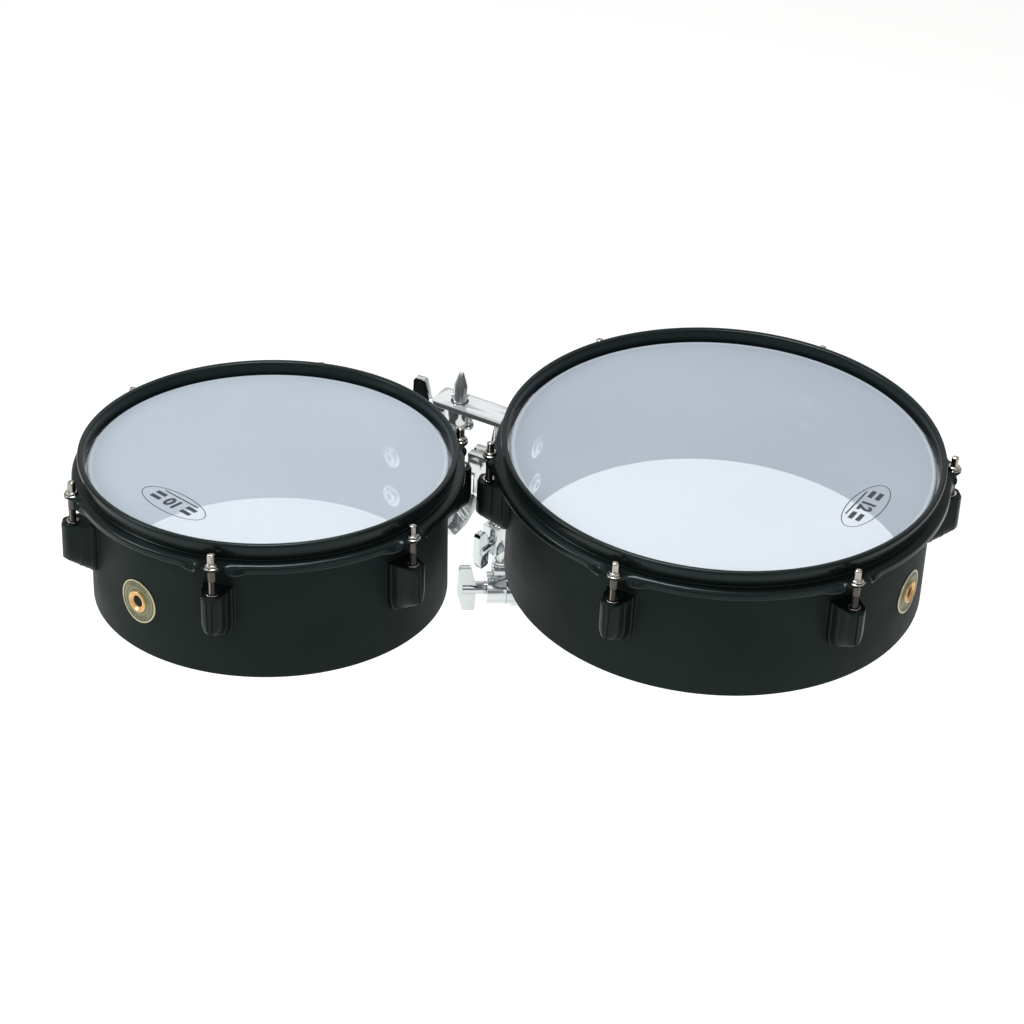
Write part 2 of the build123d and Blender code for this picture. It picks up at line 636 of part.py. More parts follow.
def build_holder():
    write("left_bracket", LEFT * left_bracket(LEFT_R))
    write("left_leg_bush", LEFT * leg_bush(LEFT_R))
    write("left_bracket_wing", LEFT * Pos(LEFT_R, 0, BRACKET_Z) * LEFT_WING
          * wing_bolt(1.0, LEFT_WING_BOSS[1] + 0.2, LEFT_BRACKET_BLADE))
    write("right_bracket", RIGHT * right_bracket(RIGHT_R))
    write("l_rod", ROD_FOOT * l_rod())
    write("rod_stop_pin", stop_pin())
    write("swivel_clamp", POST_EYE * swivel_clamp())
    write("swivel_clamp_wing", POST_EYE * Pos(CLAMP_BOLT[0], 0, CLAMP_BOLT[1]) * Rot(0, 0, -90)
          * wing_bolt(-CLAMP_EARS[2], CLAMP_EARS[2] + 0.3, CLAMP_BLADE))
    write("post_lock_ring", POST_EYE * lock_ring())
    write("inner_post", POST * inner_post())
    write("top_plate", POST * Rot(0, 0, RIGHT_AZIMUTH) * top_plate())
    write("plate_screw", POST * plate_screw())
    write("rod_clamp", ROD * rod_clamp())
    write("rod_bush", ROD * rod_bush())
    write("rod_clamp_wing", ROD * Pos(0, 0, ROD_WING_Z) * Rot(0, 0, ROD_WING_AZIMUTH)
          * wing_bolt(ROD_BUSH[1] + 0.2, ROD_LOBE[1] + 0.3, ROD_BLADE))
    write("outer_tube", POST * outer_tube())
    write("post_collar", POST * post_collar())
    write("post_bush", POST * post_bush())
    write("collar_wing", POST * Pos(0, 0, COLLAR_WING_Z) * Rot(0, 0, COLLAR_WING_AZIMUTH)
          * wing_bolt(OUTER_TUBE[1] + 0.2, COLLAR_LOBE[0] + 0.2, COLLAR_BLADE))
    write("tilter", TILTER * tilter())
    write("tilter_wing", TILTER * Rot(0, 0, 180) * wing_bolt(-13, 0.2 - BARREL[1], TILTER_BLADE))
    write("stand_receiver", TILTER * receiver())
    write("stand_wing", Rot(0, 0, TILTER_AZIMUTH + 90)
          * wing_bolt(STAND_RADIUS + 0.4, STAND_BOSS[1] + 0.2, STAND_BLADE))


build_drum("left", LEFT_R, LEFT)
build_drum("right", RIGHT_R, RIGHT)
build_holder()
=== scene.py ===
import json
from math import cos, pi, radians, sin, sqrt, tau

import bmesh
import bpy
import numpy as np
from mathutils import Matrix, Vector


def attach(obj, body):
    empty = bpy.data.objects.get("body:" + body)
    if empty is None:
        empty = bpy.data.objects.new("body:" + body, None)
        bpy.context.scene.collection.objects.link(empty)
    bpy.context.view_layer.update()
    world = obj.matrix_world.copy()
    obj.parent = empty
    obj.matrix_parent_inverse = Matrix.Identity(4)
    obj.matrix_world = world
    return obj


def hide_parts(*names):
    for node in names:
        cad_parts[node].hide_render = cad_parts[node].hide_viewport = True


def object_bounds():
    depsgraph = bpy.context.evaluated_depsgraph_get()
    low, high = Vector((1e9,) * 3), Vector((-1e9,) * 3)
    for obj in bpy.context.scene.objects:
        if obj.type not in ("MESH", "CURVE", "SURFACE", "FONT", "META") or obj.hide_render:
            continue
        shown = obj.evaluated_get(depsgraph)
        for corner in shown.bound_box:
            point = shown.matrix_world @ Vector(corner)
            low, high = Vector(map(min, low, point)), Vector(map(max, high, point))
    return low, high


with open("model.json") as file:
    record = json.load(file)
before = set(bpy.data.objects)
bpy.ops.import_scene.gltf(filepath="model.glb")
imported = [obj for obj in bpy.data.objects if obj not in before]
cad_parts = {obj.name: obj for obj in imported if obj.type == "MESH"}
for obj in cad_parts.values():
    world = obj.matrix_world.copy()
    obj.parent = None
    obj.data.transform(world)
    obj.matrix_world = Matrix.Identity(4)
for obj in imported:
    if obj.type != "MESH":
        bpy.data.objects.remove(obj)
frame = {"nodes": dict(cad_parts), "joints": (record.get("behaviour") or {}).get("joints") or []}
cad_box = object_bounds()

# A pair of timbales on a chrome holder. Lengths here are in millimetres and
# are turned into metres as each mesh is made.
MM = 0.001

JOINTS = {joint["name"]: joint for joint in frame["joints"]}

# ---------------------------------------------------------------- drum sizes
ROD_PITCH = 14.5        # tension rods, out from the shell
ROD_MARK = -20.0        # height of the rods' joint points below the hoop's top
HEAD_Z = -8.7           # playing surface
FILM = 0.3              # thickness of the head
FLESH_TOP = -16.0       # where the head's collar enters its hoop
SHELL_DEPTH = 101.6
WALL = 1.2              # thickness of the shell
LUG_TOP = -36.3
LUG_FOOT = -76.0        # lowest, at the shell
LUG_TOE = -64.2         # lowest, at the front
LUG_REACH = 22.7        # front, out from the shell
GASKET = 0.8            # under each lug
BADGE_Z = -70.0
LUG_ANGLES = [radians(30 + 60 * k) for k in range(6)]

# ---------------------------------------------------------------- small tools


def smooth(x):
    """0 below 0, 1 above 1, and an even turn between them."""
    x = min(max(x, 0.0), 1.0)
    return x * x * (3 - 2 * x)


def arc(cx, cz, radius, start, end, steps):
    """Points on an arc in a profile, angles in degrees."""
    turns = np.linspace(radians(start), radians(end), steps)
    return [(cx + radius * cos(a), cz + radius * sin(a)) for a in turns]


def new_object(name, data):
    """An object in the scene."""
    obj = bpy.data.objects.new(name, data)
    bpy.context.scene.collection.objects.link(obj)
    return obj


def mesh_object(name, verts, faces, place, angle=35):
    """A new object from points in millimetres, put in place and smoothed."""
    mesh = bpy.data.meshes.new(name)
    mesh.from_pydata([Vector(v) * MM for v in verts], [], faces)
    mesh.validate()
    bm = bmesh.new()
    bm.from_mesh(mesh)
    bmesh.ops.remove_doubles(bm, verts=bm.verts, dist=0.00001)
    bmesh.ops.recalc_face_normals(bm, faces=bm.faces)
    bm.to_mesh(mesh)
    bm.free()
    mesh.transform(place)
    shade(mesh, angle)
    return new_object(name, mesh)


def shade(mesh, angle):
    """Smooth faces, with sharp edges where two faces meet at more than angle."""
    mesh.polygons.foreach_set("use_smooth", [True] * len(mesh.polygons))
    mesh.set_sharp_from_angle(angle=radians(angle))


def ring_faces(steps, count, closed=True):
    """Faces between the sections of a ring, each section a line or loop of count points."""
    faces = []
    for i in range(steps):
        k = (i + 1) % steps
        for j in range(count if closed else count - 1):
            n = (j + 1) % count
            faces.append((i * count + j, k * count + j, k * count + n, i * count + n))
    return faces


def lathe(profile, steps, closed=True):
    """Points and faces of a profile of (radius, z) turned about Z."""
    verts = []
    for i in range(steps):
        a = tau * i / steps
        verts += [(r * cos(a), r * sin(a), z) for r, z in profile]
    return verts, ring_faces(steps, len(profile), closed)


def loft(rings):
    """Points and faces through closed rings of equal length, capped at both ends."""
    count = len(rings[0])
    verts = [p for ring in rings for p in ring]
    faces = []
    for i in range(len(rings) - 1):
        for j in range(count):
            n = (j + 1) % count
            k = i + 1
            faces.append((i * count + j, i * count + n, k * count + n, k * count + j))
    faces.append(tuple(range(count)))
    faces.append(tuple((len(rings) - 1) * count + j for j in range(count)))
    return verts, faces


def join_shapes(*shapes):
    """One set of points and faces from several."""
    verts = []
    faces = []
    for some_verts, some_faces in shapes:
        base = len(verts)
        verts += list(some_verts)
        faces += [tuple(base + i for i in face) for face in some_faces]
    return verts, faces


def moved(shape, matrix):
    """A shape's points through a matrix whose lengths are millimetres."""
    verts, faces = shape
    return [tuple(matrix @ Vector(v)) for v in verts], faces


# ---------------------------------------------------------------- drum frames
class Drum:
    """A drum's own frame: the hoop's top centre, +Z out of the head, +X to its bracket."""

    def __init__(self, side):
        self.side = side
        self.body = f"{side}_drum"
        turns = [JOINTS[f"{side}_rod_{k}_turn"] for k in range(1, 7)]
        marks = [Vector(turn["pos_m"]) for turn in turns]
        up = Vector(turns[0]["axis"]).normalized()
        middle = sum(marks, Vector()) / 6
        out = ((marks[0] - middle) + (marks[5] - middle)).normalized()
        back = up.cross(out).normalized()
        top = middle - up * ROD_MARK * MM
        self.place = Matrix((
            (out.x, back.x, up.x, top.x), (out.y, back.y, up.y, top.y),
            (out.z, back.z, up.z, top.z), (0, 0, 0, 1)))
        self.r = (marks[0] - middle).length / MM - ROD_PITCH


DRUMS = [Drum("left"), Drum("right")]


# ---------------------------------------------------------------- materials
class Paint:
    """A node material with one Principled shader and helpers to build on it."""

    def __init__(self, name, color=(0.5, 0.5, 0.5), metallic=0.0, roughness=0.5):
        self.material = bpy.data.materials.new(name)
        self.material.use_nodes = True
        self.nodes = self.material.node_tree.nodes
        self.links = self.material.node_tree.links
        self.shader = self.nodes["Principled BSDF"]
        self.set("Base Color", (*color, 1.0))
        self.set("Metallic", metallic)
        self.set("Roughness", roughness)

    def set(self, socket, value):
        self.shader.inputs[socket].default_value = value

    def node(self, kind, **values):
        node = self.nodes.new(kind)
        for key, value in values.items():
            setattr(node, key, value)
        return node

    def link(self, source, target):
        self.links.new(source, target)

    def noise(self, scale, detail=4.0, roughness=0.55, stretch=None):
        """A noise texture on the object's own coordinates."""
        where = self.node("ShaderNodeTexCoord")
        texture = self.node("ShaderNodeTexNoise")
        texture.inputs["Scale"].default_value = scale
        texture.inputs["Detail"].default_value = detail
        texture.inputs["Roughness"].default_value = roughness
        if stretch:
            mapping = self.node("ShaderNodeMapping")
            mapping.inputs["Scale"].default_value = stretch
            self.link(where.outputs["Object"], mapping.inputs["Vector"])
            self.link(mapping.outputs["Vector"], texture.inputs["Vector"])
        else:
            self.link(where.outputs["Object"], texture.inputs["Vector"])
        return texture.outputs["Fac"]

    def spread(self, value, low, high, start=0.3, end=0.7):
        """Maps a 0 to 1 value onto a range."""
        node = self.node("ShaderNodeMapRange")
        node.inputs["From Min"].default_value = start
        node.inputs["From Max"].default_value = end
        node.inputs["To Min"].default_value = low
        node.inputs["To Max"].default_value = high
        self.link(value, node.inputs["Value"])
        return node.outputs["Result"]

    def blend(self, factor, first, second):
        """A colour between two, by a value."""
        node = self.node("ShaderNodeMix", data_type="RGBA")
        node.inputs[6].default_value = (*first, 1.0)
        node.inputs[7].default_value = (*second, 1.0)
        self.link(factor, node.inputs[0])
        return node.outputs[2]

    def bump(self, value, strength, distance):
        """Raises the surface by a value; the distance is in metres."""
        node = self.node("ShaderNodeBump")
        node.inputs["Strength"].default_value = strength
        node.inputs["Distance"].default_value = distance
        self.link(value, node.inputs["Height"])
        self.link(node.outputs["Normal"], self.shader.inputs["Normal"])


COOL = (0.78, 1.0, 0.97, 1.0)       # the black paints' faint green-blue gleam


def powder_black():
    """Matte powder coat with a fine grain and a faint cloudiness."""
    paint = Paint("powder_black", (0.010, 0.0125, 0.0135), 0.0, 0.55)
    tone = paint.spread(paint.noise(9.0, 3.0), 0.0, 1.0)
    paint.link(paint.blend(tone, (0.0086, 0.0134, 0.0127), (0.0120, 0.0180, 0.0170)),
               paint.shader.inputs["Base Color"])
    paint.link(paint.spread(paint.noise(26.0), 0.50, 0.62), paint.shader.inputs["Roughness"])
    paint.set("Specular IOR Level", 0.08)
    paint.set("Specular Tint", COOL)
    paint.bump(paint.noise(2600.0, 2.0), 0.25, 0.00004)
    return paint.material


def satin_black():
    """Smoother black paint on the hoops, with a soft shine."""
    paint = Paint("satin_black", (0.007, 0.009, 0.011), 0.0, 0.25)
    paint.link(paint.spread(paint.noise(40.0), 0.24, 0.27), paint.shader.inputs["Roughness"])
    tone = paint.spread(paint.noise(14.0), 0.0, 1.0)
    paint.link(paint.blend(tone, (0.0036, 0.0060, 0.0058), (0.0054, 0.0084, 0.0084)),
               paint.shader.inputs["Base Color"])
    paint.set("Specular IOR Level", 0.22)
    paint.set("Specular Tint", COOL)
    paint.bump(paint.noise(1500.0, 2.0), 0.12, 0.00003)
    return paint.material


def cast_black():
    """Painted die-casting: a slightly uneven satin skin."""
    paint = Paint("cast_black", (0.007, 0.009, 0.010), 0.0, 0.33)
    paint.link(paint.spread(paint.noise(90.0), 0.27, 0.40), paint.shader.inputs["Roughness"])
    tone = paint.spread(paint.noise(35.0), 0.0, 1.0)
    paint.link(paint.blend(tone, (0.0042, 0.0062, 0.0062), (0.0068, 0.0094, 0.0094)),
               paint.shader.inputs["Base Color"])
    paint.set("Specular IOR Level", 0.17)
    paint.set("Specular Tint", COOL)
    paint.bump(paint.noise(900.0, 3.0), 0.18, 0.00005)
    return paint.material


def polished(name, color, roughness, haze, metal=1.0):
    """A plated metal: polish with faint wiping marks."""
    paint = Paint(name, color, metal, roughness)
    marks = paint.noise(160.0, 5.0, 0.6, stretch=(1.0, 1.0, 0.12))
    paint.link(paint.spread(marks, roughness, roughness + haze), paint.shader.inputs["Roughness"])
    paint.bump(paint.noise(520.0, 2.0), 0.05, 0.00003)
    return paint.material


def bead_blasted(name, color, roughness):
    """A fine-grained metal skin."""
    paint = Paint(name, color, 1.0, roughness)
    paint.link(paint.spread(paint.noise(300.0, 4.0), roughness - 0.06, roughness + 0.08),
               paint.shader.inputs["Roughness"])
    paint.bump(paint.noise(2200.0, 2.0), 0.3, 0.00004)
    return paint.material


def milky_film(name, rough, alpha, shine):
    """The head: a hazy film that lets what is under it show."""
    paint = Paint(name, (0.44, 0.50, 0.57), 0.0, rough)
    tone = paint.spread(paint.noise(7.0, 3.0), 0.0, 1.0)
    paint.link(paint.blend(tone, (0.42, 0.478, 0.545), (0.455, 0.515, 0.580)),
               paint.shader.inputs["Base Color"])
    grain = paint.noise(60.0, 5.0)
    paint.link(paint.spread(grain, rough - 0.05, rough + 0.05), paint.shader.inputs["Roughness"])
    paint.set("Alpha", alpha)
    paint.set("Specular IOR Level", shine)
    paint.bump(paint.noise(1800.0, 3.0), 0.15, 0.00002)
    return paint.material


def mark_ink():
    """Dark ink printed on the film."""
    paint = Paint("mark_ink", (0.02, 0.022, 0.028), 0.0, 0.5)
    paint.link(paint.spread(paint.noise(700.0), 0.4, 0.6), paint.shader.inputs["Roughness"])
    paint.bump(paint.noise(1500.0), 0.1, 0.00002)
    return paint.material


def dull_plastic(name, color):
    """Moulded nylon or rubber with a fine skin."""
    paint = Paint(name, color, 0.0, 0.6)
    paint.link(paint.spread(paint.noise(120.0), 0.5, 0.7), paint.shader.inputs["Roughness"])
    paint.bump(paint.noise(1400.0), 0.25, 0.00004)
    return paint.material


SHELL_BLACK = powder_black()
HOOP_BLACK = satin_black()
LUG_BLACK = cast_black()
CHROME = polished("chrome_plate", (0.60, 0.63, 0.64), 0.07, 0.07)
# chrome that is one fifth pale diffuse colour: a painted reflection that lightens the pieces it
# covers
CHROME_PAINTED_SHEEN = polished("chrome_painted_sheen", (0.70, 0.73, 0.74), 0.08, 0.08, 0.80)
NICKEL = polished("nickel_plate", (0.47, 0.45, 0.41), 0.12, 0.09)
THREAD = polished("cut_thread", (0.095, 0.088, 0.078), 0.28, 0.12)
ZINC = bead_blasted("zinc_plate", (0.86, 0.87, 0.88), 0.36)
DARK_STEEL = polished("oiled_steel", (0.16, 0.17, 0.18), 0.30, 0.10)
GOLD = bead_blasted("badge_gold", (0.54, 0.48, 0.32), 0.34)
OLIVE = bead_blasted("badge_olive", (0.225, 0.22, 0.14), 0.42)
DARK_OLIVE = bead_blasted("badge_dark_olive", (0.055, 0.05, 0.04), 0.45)
# brass that is nearly half diffuse colour: a painted reflection, so the vent's bowl shows brown and
# orange where its metal would mirror the dark inside of the drum
BRASS = polished("vent_brass", (0.78, 0.48, 0.20), 0.26, 0.10, 0.55)
ALLOY = bead_blasted("flesh_alloy", (0.70, 0.71, 0.73), 0.40)
HEAD_FILM = {
    "left": milky_film("left_film", 0.41, 0.54, 0.35),
    "right": milky_film("right_film", 0.41, 0.47, 0.35),
}
FILM_EDGE = milky_film("film_edge", 0.17, 0.72, 0.9)
INK = mark_ink()
NYLON = dull_plastic("black_nylon", (0.02, 0.02, 0.022))
GASKET_BLACK = dull_plastic("gasket_rubber", (0.012, 0.012, 0.012))


def at_lugs(shape):
    """A shape repeated at each lug's azimuth."""
    return join_shapes(*[moved(shape, Matrix.Rotation(a, 4, "Z")) for a in LUG_ANGLES])


def finish_piece(obj, material, body, slot, *nodes):
    """Gives a piece its material and its body, and hides the CAD nodes it stands for. The slot is
    not used.
    """
    obj.data.materials.clear()
    obj.data.materials.append(material)
    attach(obj, body)
    if nodes:
        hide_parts(*nodes)
    return obj


# ---------------------------------------------------------------- counter hoop
HOOP_SHEET = 2.1        # thickness of the rolled sheet
# The wall above the flange, from the top: (height, its outer face out from the shell).
HOOP_WALL = [(-0.10, 6.3), (-0.30, 6.9), (-0.80, 7.3), (-1.60, 7.5), (-3.0, 7.4), (-5.5, 6.9),
             (-8.0, 6.4), (-10.5, 5.85), (-12.0, 5.45)]
# The inner face at the same heights, out from the shell.
HOOP_WALL_INSIDE = [4.3, 3.75, 3.35, 3.1, 3.0, 3.0, 3.0, 3.0, 3.1]
# The flange below the wall: (out from the shell, height).
FLANGE = arc(5.9, -12.35, 1.8, 190, 262, 5) + [(7.0, -14.3), (8.4, -14.75), (9.3, -15.0)]
FLANGE_END = (9.7, -15.15)      # where the flange goes over into a lip or an ear
LIP = 5.2               # depth of the turned-down lip
LIP_TURN = 90           # its slope, in degrees
EAR_TURN = 6            # slope of an ear, in degrees
EAR_FLAT = 7.0          # half of the ear's flat part
EAR_ROUND = 8.5         # radius of the ear's end
EAR_REACH = 9.3         # length of an ear beyond the flange
NECK = 3.2              # length of the sheet between ear and lip
NECK_RISE = 5.0         # distance over which the neck grows into the lip
EAR_BLEND = 15.0        # where the turned-down lip is whole again
EAR_FLARE = 1.8         # how much deeper the lip is beside an ear
FLARE_TURN = 20         # and how much less it is turned down, in degrees
FLARE_FADE = 12.0       # distance over which the flare dies out
BEND_STEPS = 7
HOOP_STEPS = 1080       # sections round a hoop


def hoop_line(along):
    """The middle of the hoop's sheet at a distance along the hoop from the nearest ear.

    Points are (out from the shell, height, thickness)."""
    down = smooth((along - EAR_FLAT) / (EAR_BLEND - EAR_FLAT))
    flare = smooth((along - EAR_FLAT) / NECK_RISE) * (1 - smooth((along - EAR_BLEND) / FLARE_FADE))
    line = [((inside + outside) / 2, z, outside - inside)
            for (z, outside), inside in zip(HOOP_WALL, HOOP_WALL_INSIDE)]
    line += [(x, z, HOOP_SHEET) for x, z in FLANGE]
    tilt = radians(EAR_TURN + (LIP_TURN - EAR_TURN) * down - FLARE_TURN * flare)
    if along < EAR_ROUND:
        reach = EAR_REACH - EAR_ROUND + sqrt(EAR_ROUND ** 2 - along ** 2)
        reach = max(reach, NECK)
    else:
        reach = NECK + (LIP - NECK) * smooth((along - EAR_ROUND) / NECK_RISE)
    reach += (LIP + EAR_FLARE - reach) * flare
    x, z = FLANGE_END
    for i in range(BEND_STEPS):
        bend = tilt * smooth(2 * (i + 1) / BEND_STEPS)
        x += cos(bend) * reach / BEND_STEPS
        z -= sin(bend) * reach / BEND_STEPS
        line.append((x, z, HOOP_SHEET))
    return line


def thicken(line):
    """A closed outline round a profile line of (x, z, thickness), with pointed ends."""
    points = np.array([point[:2] for point in line])
    thick = np.array([point[2] for point in line])[:, None]
    ahead = np.vstack([points[1:], 2 * points[-1] - points[-2]])
    behind = np.vstack([2 * points[0] - points[1], points[:-1]])
    along = ahead - behind
    along /= np.linalg.norm(along, axis=1)[:, None]
    side = np.stack([-along[:, 1], along[:, 0]], axis=1) * thick / 2
    left = points + side
    right = points - side
    start_cap = points[0] - along[0] * 0.05
    end_cap = points[-1] + along[-1] * thick[-1] * 0.42
    return [tuple(p) for p in (*left, end_cap, *right[::-1], start_cap)]


def counter_hoop(drum):
    """The rolled hoop: its section swept round, changing beside the ears."""
    r = drum.r
    rings = []
    for i in range(HOOP_STEPS):
        a = tau * i / HOOP_STEPS
        near = min(abs((a - ear + pi) % tau - pi) for ear in LUG_ANGLES)
        outline = thicken(hoop_line(near * (r + ROD_PITCH)))
        rings.append([((r + x) * cos(a), (r + x) * sin(a), z) for x, z in outline])
    count = len(rings[0])
    verts = [p for ring in rings for p in ring]
    faces = ring_faces(HOOP_STEPS, count)
    obj = mesh_object(f"{drum.side}_rolled_hoop", verts, faces, drum.place, 50)
    return finish_piece(obj, HOOP_BLACK, drum.body, "hoop_black", f"{drum.side}_counter_hoop")


# ---------------------------------------------------------------- head
FILM_FLAT = 2.8         # the film's flat part ends this far inside the shell's radius
FILM_STEPS = 192
COLLAR = (0.45, 0.8)    # inside and outside of the film's collar, out from the shell
ROLL_RADIUS = 2.0       # outside of the roll over the bearing edge
ROLL_INSIDE = 1.68


def head(drum):
    """A film that rolls over the bearing edge into its collar."""
    r = drum.r
    top = HEAD_Z
    low = top - FILM
    edge = r - FILM_FLAT
    across = [0.0, r * 0.35, r * 0.7, r - 6, edge]
    flat = [(x, top) for x in across] + [(x, low) for x in reversed(across)]
    obj = mesh_object(f"{drum.side}_film", *lathe(flat, FILM_STEPS, closed=False), drum.place, 60)
    finish_piece(obj, HEAD_FILM[drum.side], drum.body, "head_film", f"{drum.side}_head")
    inside, outside = (r + out for out in COLLAR)
    middle = (outside - ROLL_RADIUS, top - ROLL_RADIUS)
    roll = [(edge, top)] + arc(*middle, ROLL_RADIUS, 88, 4, 9)
    roll += [(outside, top - 5.0), (outside, FLESH_TOP), (inside, FLESH_TOP), (inside, top - 5.0)]
    roll += arc(*middle, ROLL_INSIDE, 4, 88, 9) + [(edge, low)]
    obj = mesh_object(f"{drum.side}_film_edge", *lathe(roll, FILM_STEPS), drum.place, 60)
    finish_piece(obj, FILM_EDGE, drum.body, "head_film")


# ---------------------------------------------------------------- size mark
MARK_OVAL = (61.0, 25.0, 0.65)      # width, height, breadth of the line
MARK_RULE = (34.0, 1.1)             # the line under the figures: width, height
MARK_RULE_Y = -7.6
MARK_BAR = (9.5, 3.4)               # a bar beside the figures: width, height
MARK_BAR_AT = (15.5, 2.9)
MARK_LIFT = 0.06                    # ink, above the film
FIGURE_SIZE = 13.5
FIGURE_WEIGHT = 0.65                # how much the figures' strokes are widened
# azimuth, distance from the drum's axis, and the shell's size in inches
SIZE_MARKS = {"left": (178.2, 88.7, "10"), "right": (178.1, 114.2, "12")}


def oval_band(width, height, inner, z, steps=96):
    """A flat oval ring."""
    turns = [tau * i / steps for i in range(steps)]
    outer = [(width / 2 * cos(a), height / 2 * sin(a), z) for a in turns]
    hole = [(x * (1 - 2 * inner / width), y * (1 - 2 * inner / height), z) for x, y, _ in outer]
    faces = [(i, (i + 1) % steps, steps + (i + 1) % steps, steps + i) for i in range(steps)]
    return outer + hole, faces


def flat_bar(x, y, width, height, z):
    """A flat rectangle."""
    corners = ((-1, -1), (1, -1), (1, 1), (-1, 1))
    return [(x + i * width / 2, y + j * height / 2, z) for i, j in corners], [(0, 1, 2, 3)]


def size_mark(drum, azimuth, distance, words):
    """An oval printed on the head, with the shell's size in inches and plain bars."""
    z = HEAD_Z + MARK_LIFT
    turn = Matrix.Rotation(radians(azimuth), 4, "Z") @ Matrix.Translation((distance, 0, 0))
    turn = turn @ Matrix.Rotation(radians(-90), 4, "Z")
    shapes = [oval_band(*MARK_OVAL, z), flat_bar(0, MARK_RULE_Y, *MARK_RULE, z)]
    x, y = MARK_BAR_AT
    for side in (-1, 1):
        for row in (-1, 1):
            shapes.append(flat_bar(side * x, row * y, *MARK_BAR, z))
    verts, faces = moved(join_shapes(*shapes), turn)
    band = mesh_object(f"{drum.side}_size_mark", verts, faces, drum.place)
    text = bpy.data.curves.new(f"{drum.side}_size_text", "FONT")
    text.body = words
    text.size = FIGURE_SIZE * MM
    text.offset = FIGURE_WEIGHT * MM
    text.align_x = "CENTER"
    text.align_y = "CENTER"
    letters = new_object(text.name, text)
    bpy.context.view_layer.update()
    mesh = bpy.data.meshes.new_from_object(letters)
    bpy.data.objects.remove(letters)
    local = turn.copy()
    local.translation = turn.translation * MM
    mesh.transform(drum.place @ local @ Matrix.Translation((0, 0, z * MM)))
    figures = new_object(f"{drum.side}_size_figures", mesh)
    for obj in (band, figures):
        finish_piece(obj, INK, drum.body, "head_film")


# ---------------------------------------------------------------- shell
FOOT = 5.0              # the bottom edge, turned in
EDGE_ROLL = 3.0         # radius of the bearing edge


def shell(drum):
    """A plain wall with a rolled bearing edge above and a small flange below."""
    r = drum.r
    top = HEAD_Z - FILM
    low = top - SHELL_DEPTH
    inside = r - WALL
    outer = [(r - FOOT, low), (r - 1.6, low)] + arc(r - 1.2, low + 1.2, 1.2, -70, 0, 5)
    outer += [(r, low + 30), (r, low + 65), (r, top - 3.5)]
    outer += arc(r - EDGE_ROLL, top - 3.2, EDGE_ROLL, 5, 85, 6)
    inner = [(r - 3.4, top - 0.6), (inside, top - 4.2), (inside, low + 65), (inside, low + 30)]
    inner += [(inside, low + WALL + 1.0), (r - 2.2, low + WALL), (r - FOOT, low + WALL)]
    verts, faces = lathe(outer + inner, 256)
    obj = mesh_object(f"{drum.side}_steel_shell", verts, faces, drum.place, 40)
    return finish_piece(obj, SHELL_BLACK, drum.body, "shell_black", f"{drum.side}_shell")


# ---------------------------------------------------------------- lugs
# A lug's outline seen along the drum's axis, as (out from the shell, half width):
# a foot plate, two steps, a tapering block and a blunt front with a rib down it.
LUG_PLAN = [
    (GASKET, 11.0), (2.6, 11.1), (3.9, 11.0), (4.2, 10.7), (4.5, 10.1), (7.5, 9.8), (11.4, 9.35),
    (11.9, 9.1), (12.2, 8.5), (15.5, 7.8), (19.2, 6.9), (19.9, 6.5), (21.3, 4.6), (22.3, 2.6),
    (22.35, 2.2), (21.75, 1.95), (21.8, 1.65), (22.5, 1.45), (22.7, 0.7),
]


LUG_PAD = 2.5           # the underside starts to slant this far out from the shell
LUG_ROUND = 11.0        # height over which the lug closes in above its underside
LUG_TIP = 0.42          # share of the width that is left at the underside
LUG_STEP = 0.6          # between the outlines cut by the underside


def lug_foot(out):
    """Height of the slanted underside at a distance out from the shell."""
    share = min(max((out - LUG_PAD) / (LUG_REACH - LUG_PAD), 0.0), 1.0)
    return LUG_FOOT + (LUG_TOE - LUG_FOOT) * share


def lug_width(z, out):
    """How much of its full width the lug keeps, closing in above its underside."""
    up = min(max((z - lug_foot(out)) / LUG_ROUND, 0.0), 1.0)
    return LUG_TIP + (1 - LUG_TIP) * sqrt(1 - (1 - up) ** 2)


def lug_body(r):
    """The lug as a stack of outlines, cut by its sloping top edge and underside."""
    top = [(LUG_TOP, 20.7, 0.965), (LUG_TOP - 0.3, 21.1, 0.99), (LUG_TOP - 0.8, 21.6, 1.0)]
    top += [(LUG_TOP - 2.0, LUG_REACH, 1.0)]
    middle = [(z, LUG_REACH, 1.0) for z in (-42, -47, -52, -55, -57, -59, -60.5, -62, -63, LUG_TOE)]
    slope = (LUG_REACH - LUG_PAD) / (LUG_TOE - LUG_FOOT)
    downs = [LUG_STEP * i for i in range(1, 20)]
    low = [(LUG_TOE - down, LUG_REACH - slope * down, 1.0) for down in downs]
    rings = []
    for z, reach, wide in top + middle + low:
        side = []
        for out, half in LUG_PLAN:
            x = min(out, reach)
            side.append((r + x, half * wide * lug_width(z, x), z))
        rings.append(side + [(x, -y, z) for x, y, z in reversed(side)])
    return loft(rings)


def lug_notch(r):
    """The rim of the small hole under the rod, in the front's top edge."""
    ring = arc(1.9, 0.0, 0.5, 0, 330, 12)
    lean = Matrix.Translation((r + 21.2, 0, LUG_TOP - 1.2)) @ Matrix.Rotation(radians(58), 4, "Y")
    return moved(lathe(ring, 28), lean)


def lugs(drum):
    """The six lugs in one piece."""
    shape = at_lugs(join_shapes(lug_body(drum.r), lug_notch(drum.r)))
    obj = mesh_object(f"{drum.side}_cast_lugs", *shape, drum.place, 28)
    return finish_piece(obj, LUG_BLACK, drum.body, "lug_black", f"{drum.side}_lugs")


